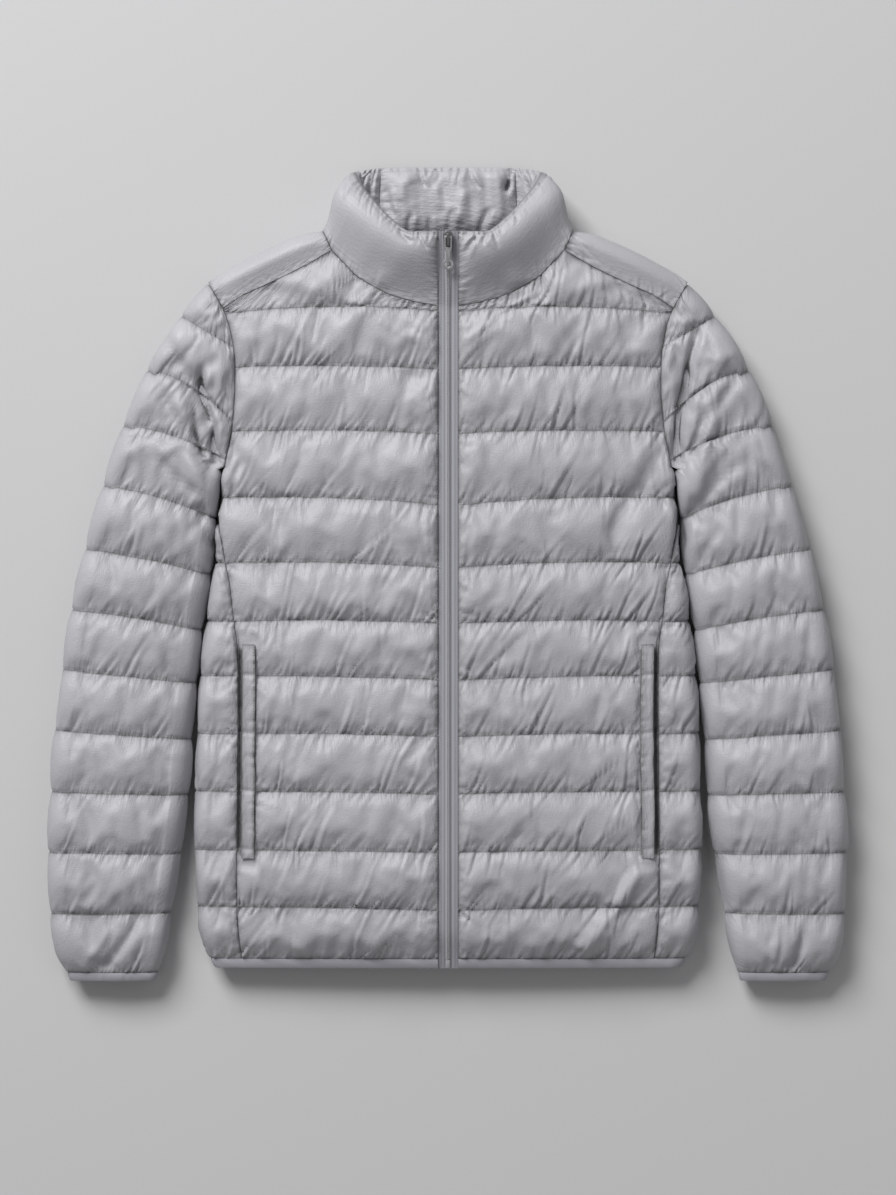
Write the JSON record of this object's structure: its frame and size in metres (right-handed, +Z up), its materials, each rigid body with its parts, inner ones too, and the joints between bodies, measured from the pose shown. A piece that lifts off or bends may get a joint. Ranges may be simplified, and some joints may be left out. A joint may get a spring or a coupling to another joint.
{
  "type": "puffer jacket",
  "caption": "Zipped puffer jacket laid flat, front up, with horizontal quilted channels, plain shoulder yokes, a padded stand collar and pocket welts",
  "frame": {"origin": "on the surface that the jacket lies on, under the middle of its outline", "axes": "+X to the wearer's left, +Y from the hem to the collar, +Z up off the surface"},
  "size_m": [0.724, 0.7376, 0.0692],
  "materials": {
    "shell": "satin woven nylon, silver grey",
    "binding": "matte woven binding, grey",
    "tape": "matte woven zip tape, grey",
    "coil": "moulded nylon coil, grey",
    "metal": "dull plated metal"
  },
  "bodies": {
    "jacket": {"front_left": "shell", "front_right": "shell", "side_left": "shell", "side_right": "shell", "back": "shell", "yoke_left": "shell", "yoke_right": "shell", "sleeve_left": "shell", "sleeve_right": "shell", "collar_left": "shell", "collar_right": "shell", "collar_back": "shell", "zip_tape_left": "tape", "zip_tape_right": "tape", "zip_coil": "coil", "zip_slider": "metal", "zip_end": "coil", "pocket_welt_left": "binding", "pocket_welt_right": "binding", "hem_binding": "binding", "cuff_binding_left": "binding", "cuff_binding_right": "binding"},
    "pull": {"zip_pull": "metal"}
  },
  "joints": [
    {"name": "pull_tab_swing", "type": "hinge", "parent": "jacket", "child": "pull", "pos_m": [0, 0.29868, 0.06598], "axis": [-1, 0, 0], "range_deg": [0, 160]}
  ]
}
